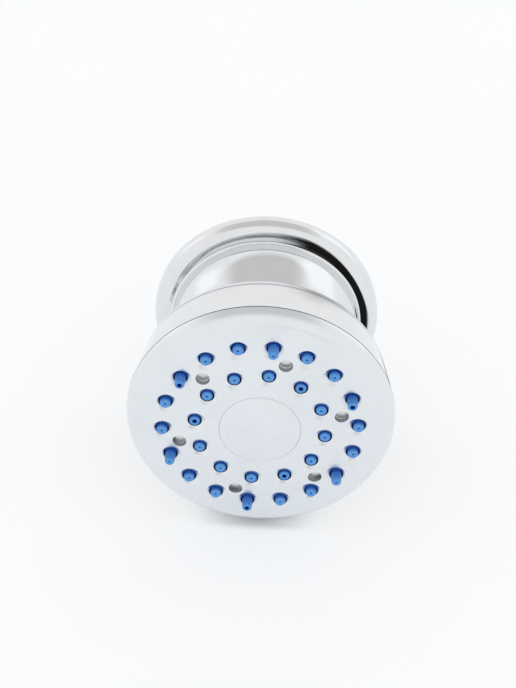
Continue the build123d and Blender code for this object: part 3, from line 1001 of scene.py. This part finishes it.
@dataclass
class NozzleMat:
    """The silicone mat: a disc with two rings of nozzles, whose kinds repeat in a pattern round each ring."""

    outer_ring: float = 21.82
    outer_count: int = 18
    outer_pattern: tuple[NozzleKind, ...] = (
        NozzleKind.LONG_WIDE, NozzleKind.SHORT_FINE, NozzleKind.SHORT_FINE,
        NozzleKind.LONG_FINE, NozzleKind.SHORT_FINE, NozzleKind.SHORT_FINE,
    )
    inner_ring: float = 14.56
    inner_count: int = 12
    inner_pattern: tuple[NozzleKind, ...] = (
        NozzleKind.SHORT_FINE, NozzleKind.SHORT_WIDE, NozzleKind.SHORT_FINE, NozzleKind.SHORT_FINE,
    )
    turn: float = 24.74
    thickness: float = 1.4
    bore: float = 7.4
    root: float = 1.4
    short_tip: float = 1.2
    long_tip: float = 1.05
    short_step: float = 1.95
    tip_round: float = 0.34
    lip_round: float = 0.05
    # painted light: how far down a nozzle's side it fades into painted shade, and how much of it a fine bore
    # gets
    short_light_fade: float = 0.8
    long_light_fade: float = 2.6
    fine_bore_painted_light: float = 0.85
    feed: float = 0.85
    fine_orifice: float = 0.2
    wide_orifice: float = 0.5
    nozzle_segments: int = 40
    disc_segments: int = 128
    crease: float = 35.0

    def build(self) -> None:
        """Makes the mat in place of its CAD node."""
        mat = Extent.of("nozzle_mat")
        wall = Section(self.bore, mat.back + self.thickness).path((self.bore, mat.back))
        wall.move_to(mat.radius, mat.back).path((mat.radius, mat.back + self.thickness))
        values = {
            "Edge": Lathe(self.disc_segments, upright=True).mesh("mat_edge", wall),
            "Front": (mat.back + self.thickness) * MM,
            "Back": mat.back * MM,
            "Disc Radius": mat.radius * MM,
            "Bore": self.bore * MM,
            "Front Hole": self.root * MM,
            "Back Hole": self.feed * MM,
            "Outer Ring": self.outer_ring * MM,
            "Inner Ring": self.inner_ring * MM,
            "Outer Count": self.outer_count,
            "Inner Count": self.inner_count,
            "Turn": math.radians(self.turn),
            "Crease": math.radians(self.crease),
            "Material": SILICONE.material(),
            **{kind.value: self._nozzle(kind, mat) for kind in NozzleKind},
        }
        mesh = realised("nozzle_mat_soft", self._tree(), values)
        add_piece("nozzle_mat_soft", mesh, Body.HEAD, Slot.BLUE_SILICONE, "nozzle_mat")

    def _nozzle(self, kind: NozzleKind, mat: Extent) -> bpy.types.Mesh:
        """One nozzle's skin: its taper, round tip and bore, from the disc's front to its back.

        It is marked with painted light: fully at its tip, less down its side, where painted shade takes over,
        and evenly in its bore.

        Args:
            kind: the nozzle's kind.
            mat: the mat's extent.

        Returns:
            The skin's mesh, upright at the origin.
        """
        is_long = kind in (NozzleKind.LONG_FINE, NozzleKind.LONG_WIDE)
        is_wide = kind in (NozzleKind.SHORT_WIDE, NozzleKind.LONG_WIDE)
        tip = self.long_tip if is_long else self.short_tip
        out = mat.front if is_long else mat.front - self.short_step
        orifice = self.wide_orifice if is_wide else self.fine_orifice
        section = Section(self.root, mat.back + self.thickness)
        section.path((tip, out, self.tip_round), (orifice, out, self.lip_round), (self.feed, mat.back))
        mesh = Lathe(self.nozzle_segments, upright=True).mesh(kind.value, section)
        fade = self.long_light_fade if is_long else self.short_light_fade
        bore_painted_light = 0.0 if is_wide else self.fine_bore_painted_light
        # the painted light of each vertex
        marks = mesh.attributes.new(SILICONE.paleness, "FLOAT", "POINT")
        for vertex, mark in zip(mesh.vertices, marks.data):
            sunk = out - vertex.co.z / MM
            in_bore = sunk > NO_LENGTH and vertex.co.xy.length / MM < orifice + self.lip_round
            mark.value = bore_painted_light if in_bore else max(0.0, 1.0 - sunk / fade)
        return mesh

    def _tree(self) -> bpy.types.NodeTree:
        """Writes the tree that pierces the disc and stands the nozzles on it.

        Returns:
            The tree.
        """
        pad = GeoPad("nozzle_mat")
        ring = ring_of_forms()
        forms = {kind: pad.taken(kind.value) for kind in NozzleKind}
        edge = pad.taken("Edge")
        front, back, radius, bore, front_hole, back_hole = pad.floats(
            "Front", "Back", "Disc Radius", "Bore", "Front Hole", "Back Hole"
        )
        outer, inner, turn, crease = pad.floats("Outer Ring", "Inner Ring", "Turn", "Crease")
        counts = {outer: pad.input("Outer Count", "Int"), inner: pad.input("Inner Count", "Int")}
        material = pad.input("Material", "Material")

        def stood(form: Wire, circle: Wire, every: int = 1, first: int = 0) -> Wire:
            """Stands a form at places of a circle.

            Args:
                form: the form.
                circle: the circle's radius.
                every: how many places on each copy stands.
                first: the place of the first copy.

            Returns:
                The copies.
            """
            sockets = {"Form": form, "Radius": circle, "Count": counts[circle], "Turn": turn}
            sockets |= {"Every": every, "First": first}
            return pad.add("GeometryNodeGroup", sockets, node_tree=ring)

        def sheet(hole: Wire, level: Wire) -> Wire:
            """Makes a face of the disc.

            Args:
                hole: the radius of its nozzle holes.
                level: its distance out of the wall.

            Returns:
                The face, pierced.
            """
            rim, eye = (pad.circle(self.disc_segments, size) for size in (radius, bore))
            mouth = pad.circle(self.nozzle_segments, hole)
            lines = pad.join(rim, eye, stood(mouth, outer), stood(mouth, inner))
            return pad.raised(pad.add("GeometryNodeFillCurve", {"Curve": lines}), level)

        back_face = pad.add("GeometryNodeFlipFaces", {"Mesh": sheet(back_hole, back)})
        parts = [edge, sheet(front_hole, front), back_face]
        for circle, pattern in ((outer, self.outer_pattern), (inner, self.inner_pattern)):
            for first, kind in enumerate(pattern):
                parts.append(stood(forms[kind], circle, len(pattern), first))
        return pad.close(pad.dressed(pad.join(*parts), crease, material))


@dataclass
class CentreCap:
    """The cap in the middle of the face: a low crown with a soft edge that all but closes its seat."""

    seat: float = 9.1
    gap: float = 0.02
    edge_rise: float = 0.15
    edge_round: float = 0.3
    thickness: float = 1.2
    spigot: float = 5.9
    spigot_round: float = 0.15
    spigot_wall: float = 0.9
    segments: int = 160

    def build(self) -> None:
        """Makes the cap in place of its CAD node."""
        cap = Extent.of("centre_cap")
        radius = self.seat - self.gap
        floor = Extent.of("face_plate").front - self.thickness
        edge = floor + self.thickness + self.edge_rise
        rise = cap.front - edge
        crown = (radius**2 + rise**2) / (2 * rise)
        inside = self.spigot - self.spigot_wall
        section = Section(0.0, floor).path((inside, floor), (inside, cap.back))
        section.path((self.spigot, cap.back, self.spigot_round), (self.spigot, floor), (radius, floor))
        shoulder = edge - self.edge_round
        start = radius - self.edge_round
        level = cap.front - crown + math.sqrt(crown**2 - start**2)
        section.path((radius, shoulder), (radius, level, self.edge_round), (start, level))
        section.arc_to(0.0, cap.front, (0.0, cap.front - crown))
        mesh = Lathe(self.segments).mesh("centre_cap_crown", section, SATIN_FACE)
        add_piece("centre_cap_crown", mesh, Body.HEAD, Slot.CHROME_PLASTIC, "centre_cap")


@dataclass
class InletBody:
    """The brass inlet with its half-inch pipe thread cut as a real helix, and two pin holes in its back."""

    thread_minor: float = 9.32
    thread_depth: float = 0.85
    thread_pitch: float = 1.814
    steps_per_pitch: int = 16
    relief: float = 10.6
    passage: float = 5.0
    seat_play: float = 0.1
    pin_hole: float = 0.9
    pin_depth: float = 2.0
    pin_count: int = 2
    pin_segments: int = 32
    segments: int = 144
    crease: float = 50.0

    def build(self) -> None:
        """Makes the inlet in place of its CAD node."""
        body = Extent.of("inlet_body")
        values = {
            "Blank": Lathe(self.segments, upright=True).mesh("inlet_blank", self._section(body)),
            "Hole Radius": self.pin_hole * MM,
            "Hole Depth": self.pin_depth * MM,
            "Hole Ring": (body.radius + self.thread_minor) / 2 * MM,
            "Hole Count": self.pin_count,
            "Hole Segments": self.pin_segments,
            "Crease": math.radians(self.crease),
            "Material": BRASS.material(),
        }
        mesh = realised("inlet_threaded", self._tree(), values)
        add_piece("inlet_threaded", mesh, Body.WALL_MOUNT, Slot.RAW_BRASS, "inlet_body")

    def _section(self, body: Extent) -> Section:
        """Half the inlet's section, with the thread as a swelling of its bore.

        Args:
            body: the inlet's extent.

        Returns:
            The section.
        """
        washer = Extent.of("inlet_washer")
        seat = Extent.of("ball_seal").radius + self.seat_play
        floor = Extent.of("seal_backup").back
        turns = (washer.back - body.back) / self.thread_pitch

        def groove(angle: float, out: float) -> float:
            """How deep the thread is at a place."""
            way = out / self.thread_pitch - angle / (2 * math.pi)
            return self.thread_depth * (0.5 - 0.5 * math.cos(2 * math.pi * way))

        section = Section(self.thread_minor, washer.back)
        section.swollen_to(self.thread_minor, body.back, math.ceil(turns * self.steps_per_pitch), groove)
        section.path((body.radius, body.back), (body.radius, body.front), (seat, body.front), (seat, floor))
        section.path((self.passage, floor), (self.passage, washer.front), (self.relief, washer.front))
        return section.path((self.relief, washer.back), (self.thread_minor, washer.back))

    @staticmethod
    def _tree() -> bpy.types.NodeTree:
        """Writes the tree that drills the pin holes.

        Returns:
            The tree.
        """
        pad = GeoPad("drilled_ring")
        blank = pad.taken("Blank")
        radius, depth, ring, crease = pad.floats("Hole Radius", "Hole Depth", "Hole Ring", "Crease")
        count, segments = pad.input("Hole Count", "Int"), pad.input("Hole Segments", "Int")
        material = pad.input("Material", "Material")
        sizes = {"Vertices": segments, "Radius": radius, "Depth": depth * 2}
        drill = pad.add("GeometryNodeMeshCylinder", sizes, "Mesh")
        places = {"Form": drill, "Radius": ring, "Count": count, "Turn": 0.0, "Every": 1, "First": 0}
        drills = pad.add("GeometryNodeGroup", places, node_tree=ring_of_forms())
        cut = {"Mesh 1": blank, "Mesh 2": drills}
        drilled = pad.add("GeometryNodeMeshBoolean", cut, "Mesh", operation="DIFFERENCE", solver="EXACT")
        return pad.close(pad.dressed(drilled, crease, material))


@dataclass
class Strainer:
    """The inlet strainer: a dished disc of woven wire in a pressed rim."""

    rim: float = 0.8
    rim_round: float = 0.15
    mesh: float = 0.4
    dish: float = 0.5
    pitch: float = 0.6
    wire: float = 0.09
    tuck: float = 0.2
    wire_sides: int = 6
    bends_per_pitch: int = 6
    segments: int = 96
    crease: float = 50.0

    def build(self) -> None:
        """Makes the strainer in place of its CAD node."""
        whole = Extent.of("inlet_strainer")
        eye = whole.radius - self.rim
        section = Section(eye, whole.back)
        section.path((whole.radius, whole.back, self.rim_round), (whole.radius, whole.front))
        section.path((eye, whole.front), (eye, whole.back))
        values = {
            "Rim": Lathe(self.segments, upright=True).mesh("strainer_rim", section),
            "Radius": (eye + self.tuck) * MM,
            "Pitch": self.pitch * MM,
            "Wires": 2 * int(eye / self.pitch) + 1,
            "Wire Radius": self.wire * MM,
            "Middle": (whole.back + self.mesh / 2) * MM,
            "Dish": self.dish * MM,
            "Crease": math.radians(self.crease),
            "Material": STEEL.material(),
        }
        mesh = realised("strainer_weave", self._tree(), values)
        add_piece("strainer_weave", mesh, Body.WALL_MOUNT, Slot.STRAINER_STEEL, "inlet_strainer")

    def _tree(self) -> bpy.types.NodeTree:
        """Writes the tree that weaves the disc inside its rim.

        Returns:
            The tree.
        """
        pad = GeoPad("woven_disc")
        rim = pad.taken("Rim")
        radius, pitch, wire = pad.floats("Radius", "Pitch", "Wire Radius")
        middle, dish, crease = pad.floats("Middle", "Dish", "Crease")
        wires = pad.input("Wires", "Int")
        material = pad.input("Material", "Material")
        index = pad.add("GeometryNodeInputIndex")
        across = (index - (wires - 1) / 2) * pitch
        start = pad.add("ShaderNodeCombineXYZ", {"X": across})
        points = pad.add("GeometryNodePoints", {"Count": wires, "Position": start})
        ends = {"Start": (0.0, -1.0, 0.0), "End": (0.0, 1.0, 0.0)}
        line = pad.add("GeometryNodeCurvePrimitiveLine", ends)
        chord = pad.math("SQRT", radius * radius - across * across)
        scale = pad.add("ShaderNodeCombineXYZ", {"X": 1.0, "Y": chord, "Z": 1.0})
        copies = {"Points": points, "Instance": line, "Scale": scale}
        laid = pad.add("GeometryNodeInstanceOnPoints", copies)
        warp = pad.add("GeometryNodeRealizeInstances", {"Geometry": laid})
        turn = {"Geometry": warp, "Rotation": (0.0, 0.0, math.pi / 2)}
        weft = pad.add("GeometryNodeTransform", turn)

        place = pad.add("GeometryNodeInputPosition")
        x = pad.add("ShaderNodeSeparateXYZ", {"Vector": place}, "X")
        y = pad.other(x, "Y")
        wave = pad.math("COSINE", x / pitch * math.pi) * pad.math("COSINE", y / pitch * math.pi)
        bowl = middle + dish * (x * x + y * y) / (radius * radius)

        def woven(lines: Wire, side: float) -> Wire:
            """Makes wires along some lines.

            Args:
                lines: the lines.
                side: 1 for wires that pass over where those of -1 pass under.

            Returns:
                The wires.
            """
            bends = {"Curve": lines, "Length": pitch / self.bends_per_pitch}
            fine = pad.add("GeometryNodeResampleCurve", bends, mode="LENGTH")
            rise = pad.add("ShaderNodeCombineXYZ", {"Z": bowl + side * wire * wave})
            bent = pad.add("GeometryNodeSetPosition", {"Geometry": fine, "Offset": rise})
            profile = pad.circle(self.wire_sides, wire)
            swept = {"Curve": bent, "Profile Curve": profile, "Fill Caps": True}
            return pad.add("GeometryNodeCurveToMesh", swept)

        return pad.close(pad.dressed(pad.join(rim, woven(warp, 1.0), woven(weft, -1.0)), crease, material))


class SubAssembly(ABC):
    """A group of pieces that is built and then dressed."""

    def build(self) -> None:
        """Makes the pieces that stand in for CAD nodes."""

    @abstractmethod
    def dress(self) -> None:
        """Gives the CAD nodes that stay their finishes."""


@dataclass
class WallMount(SubAssembly):
    """What stays on the wall: the plated dome and flange, and the inlet inside it with its seals."""

    inlet: InletBody = field(default_factory=InletBody)
    strainer: Strainer = field(default_factory=Strainer)

    def build(self) -> None:
        """Makes the threaded inlet and the woven strainer."""
        self.inlet.build()
        self.strainer.build()

    def dress(self) -> None:
        """Gives the plated shell, the seals and the gasket their finishes."""
        CHROME_BRASS.dress("dome_flange")
        RUBBER.dress("inlet_washer", "ball_seal")
        ACETAL.dress("seal_backup")
        FOAM.dress("wall_gasket")


@dataclass
class BallJoint(SubAssembly):
    """What swivels in the dome: the ball on its stem, the ring that it slips in, and the flow limiter."""

    def dress(self) -> None:
        """Gives the ball, the ring and the limiter their finishes."""
        CHROME_BRASS.dress("swivel_ball")
        ACETAL.dress("friction_ring")
        GREY_PLASTIC.dress("flow_limiter")
        RUBBER.dress("limiter_oring")


@dataclass
class SprayHead(SubAssembly):
    """What sprays: the plated shell and face, the nozzle mat between them, and the cap over the screw."""

    mat: NozzleMat = field(default_factory=NozzleMat)
    cap: CentreCap = field(default_factory=CentreCap)

    def build(self) -> None:
        """Makes the nozzle mat and the cap."""
        self.mat.build()
        self.cap.build()

    def dress(self) -> None:
        """Gives the shell, the face and what lies between them their finishes."""
        CHROME_PLASTIC.dress("head_shell")
        SATIN_FACE.dress("face_plate")
        BRASS.dress("stem_insert")
        STEEL.dress("centre_screw")
        GREY_PLASTIC.dress("spray_plate")
        RUBBER.dress("stem_washer", "face_oring", "screw_seal")


@dataclass(frozen=True)
class Card(ABC):
    """A card of the studio that only the plating shows, with a level of light and edges that fade out."""

    name: str
    level: float
    soft: Pair
    patches_per_metre: ClassVar[float] = 3.0
    tints: ClassVar[tuple[Colour, Colour]] = ((1.0, 1.0, 1.0), (0.97, 0.975, 0.985))

    @abstractmethod
    def build(self) -> None:
        """Makes the card."""

    def add(self, spots: Sequence[Vector], columns: int) -> None:
        """Puts the card in the studio.

        Args:
            spots: its points, column by column, in metres.
            columns: how many columns they make.
        """
        rows = len(spots) // columns
        cells = [(i * rows + j, 1, rows) for i in range(columns - 1) for j in range(rows - 1)]
        mesh = bpy.data.meshes.new(self.name)
        mesh.from_pydata(spots, [], [(k, k + up, k + up + on, k + on) for k, up, on in cells])
        grid = [(k // rows / (columns - 1), k % rows / (rows - 1)) for k in range(len(spots))]
        chart = mesh.uv_layers.new(name="spread")
        for loop, corner in zip(mesh.loops, chart.data):
            corner.uv = grid[loop.vertex_index]
        mesh.materials.append(new_material(self.name, self._shader))
        card = place_in_scene(self.name, mesh)
        card.visible_camera = False
        card.visible_diffuse = False
        card.visible_shadow = False

    def _shader(self, pad: ShaderPad) -> Wire:
        """Writes a glow that is a little uneven and fades towards the card's edges.

        Args:
            pad: the material's tree.

        Returns:
            The shader.
        """
        cloud = pad.noise(pad.place(), self.patches_per_metre, detail=1.0)
        glow = {"Color": pad.blend(cloud, *self.tints), "Strength": self.level}
        light = pad.add("ShaderNodeEmission", glow)
        clear = pad.add("ShaderNodeBsdfTransparent")
        across, up, _ = pad.axis_parts(pad.add("ShaderNodeTexCoord", out="UV"))
        share = self._faded(pad, across, self.soft[0]) * self._faded(pad, up, self.soft[1])
        return pad.add("ShaderNodeMixShader", {0: share, 1: clear, 2: light})

    @staticmethod
    def _faded(pad: ShaderPad, place: Wire, soft: float) -> Wire:
        """1 inside the card and 0 at its two edges, over a share of its width."""
        return pad.ease(place, 0.0, soft) - pad.ease(place, 1.0 - soft, 1.0)


@dataclass(frozen=True)
class SkyCard(Card):
    """A card bent round the jet: azimuth from the front to the right, and elevation, in degrees."""

    azimuth: Pair
    elevation: Pair
    away: float = 900.0
    steps: int = 16

    def build(self) -> None:
        """Makes the card."""
        spots = []
        for i in range(self.steps + 1):
            side = math.radians(self._between(self.azimuth, i))
            for j in range(self.steps + 1):
                rise = math.radians(self._between(self.elevation, j))
                flat = math.cos(rise)
                way = Vector((flat * math.sin(side), -flat * math.cos(side), math.sin(rise)))
                spots.append(way * self.away * MM)
        self.add(spots, self.steps + 1)

    def _between(self, limits: Pair, step: int) -> float:
        """The angle at a step between two limits."""
        return limits[0] + (limits[1] - limits[0]) * step / self.steps


@dataclass(frozen=True)
class Canopy(Card):
    """A flat card overhead: its reach across and along, and its height, in millimetres."""

    across: Pair
    along: Pair
    height: float

    def build(self) -> None:
        """Makes the card."""
        self.add([Vector((x, y, self.height)) * MM for x in self.across for y in self.along], 2)


@dataclass(frozen=True)
class Flag(Card):
    """A narrow black strip that hangs near the jet, a painted shade that only the plating mirrors, by its
    stations: place across and along, foot and top.
    """

    stations: tuple[tuple[float, float, float, float], ...]
    steps: int = 8
    slack: float = 6.0  # divides the way between a spot's neighbours into the length of its handles

    def build(self) -> None:
        """Makes the card."""
        feet = self._smoothed([Vector((x, y, foot)) for x, y, foot, _ in self.stations])
        tops = self._smoothed([Vector((x, y, top)) for x, y, _, top in self.stations])
        self.add([spot * MM for pair in zip(feet, tops) for spot in pair], len(feet))

    def _smoothed(self, spots: list[Vector]) -> list[Vector]:
        """Draws a smooth line through some spots.

        Args:
            spots: the spots, in order.

        Returns:
            The line's points, the spots among them.
        """
        line = []
        for k in range(len(spots) - 1):
            a, d = spots[max(k - 1, 0)], spots[min(k + 2, len(spots) - 1)]
            b, c = spots[k], spots[k + 1]
            handles = (b + (c - a) / self.slack, c - (d - b) / self.slack)
            line += interpolate_bezier(b, *handles, c, self.steps + 1)[:-1]
        return [*line, spots[-1]]


@dataclass
class Studio:
    """Camera, floor and light: a pale floor, a soft dome of light and the cards that the plating mirrors."""

    camera_place: Triple = (0.0, -304.4, 211.8)
    camera_right: Triple = (0.99852686, 0.03533777, 0.0411746)
    camera_ahead: Triple = (-0.00431186, 0.80812301, -0.58899797)
    focal_length: float = 78.96
    sensor_width: float = 36.0
    camera_clip: Pair = (0.01, 20.0)
    floor_half: float = 3000.0
    floor_colour: Colour = (0.56, 0.567, 0.573)
    floor_glow: Colour = (0.48, 0.486, 0.492)
    fibres_per_metre: float = 30.0
    fibre_shade: float = 0.99
    fibre_glow: float = 0.995
    contact_along: Pair = (31.0, 43.4)  # from where to where the rim touches the floor, out of the wall
    contact_reach: Pair = (17.0, 3.5)  # how far the contact's shade fades out, aside and along
    # painted shadow where the head's rim stands on the floor
    contact_shade: float = 0.68
    sky_level: float = 0.88
    backdrop_level: float = 0.98
    cards: tuple[Card, ...] = (
        Canopy(
            "ceiling", level=0.68, soft=(0.3, 0.22),
            across=(-1100.0, 950.0), along=(-480.0, 850.0), height=900.0,
        ),
        SkyCard(
            "softbox_left", level=1.18, soft=(0.3, 0.35), azimuth=(-132.0, -101.0), elevation=(0.0, 40.0)
        ),
        SkyCard(
            "softbox_right", level=1.18, soft=(0.25, 0.3), azimuth=(98.0, 148.0), elevation=(5.0, 52.0)
        ),
        SkyCard(
            "dark_by_camera", level=0.5, soft=(0.35, 0.35),
            azimuth=(-14.0, 32.0), elevation=(-8.0, 21.0), away=700.0,
        ),
        # painted shade: a black strip that the plating mirrors in place of shade behind the head
        Flag(
            "flag_behind_head", level=0.012, soft=(0.25, 0.22),
            stations=(
                (1.0, -20.0, 3.0, 34.0), (11.0, -20.0, -4.0, 33.0), (17.0, -20.0, -11.0, 30.0),
                (23.0, -20.0, -18.0, 22.0), (28.0, -20.0, -21.0, 8.0), (33.0, -20.0, -23.0, -1.0),
                (40.0, -20.0, -25.0, -7.0),
            ),
        ),
    )

    def build(self) -> None:
        """Makes the camera, the floor and the light."""
        self._camera()
        self._floor()
        self._sky()
        for card in self.cards:
            card.build()
        bpy.context.scene.view_settings.view_transform = "Standard"

    def _camera(self) -> None:
        """Puts the camera at the photograph's place."""
        right = Vector(self.camera_right).normalized()
        back = -Vector(self.camera_ahead).normalized()
        up = back.cross(right).normalized()
        right = up.cross(back)
        turn = Matrix((right, up, back)).transposed().to_4x4()
        data = bpy.data.cameras.new("camera")
        data.sensor_width = self.sensor_width
        data.lens = self.focal_length
        data.clip_start, data.clip_end = self.camera_clip
        camera = place_in_scene("camera", data)
        camera.matrix_world = Matrix.Translation(Vector(self.camera_place) * MM) @ turn
        bpy.context.scene.camera = camera

    def _floor(self) -> None:
        """Makes the floor that the head's rim touches: a pale sheet lit from below as well."""
        half = self.floor_half * MM
        low = CAD_BOX[0].z
        mesh = bpy.data.meshes.new("floor")
        corners = [(-half, -half, low), (half, -half, low), (half, half, low), (-half, half, low)]
        mesh.from_pydata(corners, [], [(0, 1, 2, 3)])
        mesh.materials.append(new_material("floor_sheet", self._floor_shader))
        place_in_scene("floor", mesh)

    def _floor_shader(self, pad: ShaderPad) -> Wire:
        """Writes a matt sheet with faint fibres, and a painted shadow, less glow, where the head's rim stands
        on it.

        Args:
            pad: the material's tree.

        Returns:
            The shader.
        """
        place = pad.place()
        fibre = pad.noise(place, self.fibres_per_metre, detail=3.0)
        colour = pad.blend(fibre, self.floor_colour, darker(self.floor_colour, self.fibre_shade))
        glow = pad.blend(fibre, self.floor_glow, darker(self.floor_glow, self.fibre_glow))
        shade = self.contact_shade * self._contact(pad, place)
        return pad.principled(
            {
                "Base Color": colour,
                "Roughness": 0.9,
                "Specular IOR Level": 0.0,
                "Emission Color": pad.blend(shade, glow, (0.0, 0.0, 0.0)),
                "Emission Strength": 1.0,
            }
        )

    def _contact(self, pad: ShaderPad, place: Wire) -> Wire:
        """Measures how near the floor is to the line where the rim touches it.

        Args:
            pad: the material's tree.
            place: the object coordinates.

        Returns:
            1 on the line, fading out round it.
        """
        x, y, _ = pad.axis_parts(place)
        out = y / -MM
        past = pad.math("MAXIMUM", out - self.contact_along[1], self.contact_along[0] - out)
        along = pad.math("MAXIMUM", past, 0.0) / self.contact_reach[1]
        aside = x / (MM * self.contact_reach[0])
        return 1.0 - pad.ease(pad.hypot(aside, along), 0.0, 1.0)

    def _sky(self) -> None:
        """Lights the scene from a pale dome, which the camera and the plating see as a white backdrop."""
        world = bpy.data.worlds.new("studio")
        bpy.context.scene.world = world
        world.use_nodes = True
        world.node_tree.nodes.clear()
        pad = ShaderPad(world.node_tree)
        seen = pad.add("ShaderNodeLightPath", out="Is Camera Ray")
        mirrored, through = pad.other(seen, "Is Glossy Ray"), pad.other(seen, "Is Transmission Ray")
        seen = pad.math("MAXIMUM", seen, pad.math("MAXIMUM", mirrored, through))
        level = self.sky_level + (self.backdrop_level - self.sky_level) * seen
        light = pad.add("ShaderNodeBackground", {"Color": (1.0, 1.0, 1.0, 1.0), "Strength": level})
        pad.add("ShaderNodeOutputWorld", {"Surface": light})


def main() -> None:
    """Builds the object's looks and the studio."""
    logging.basicConfig(level=logging.INFO, format="%(message)s")
    for group in (WallMount(), BallJoint(), SprayHead()):
        group.build()
        group.dress()
    Studio().build()


if __name__ == "__main__":
    main()
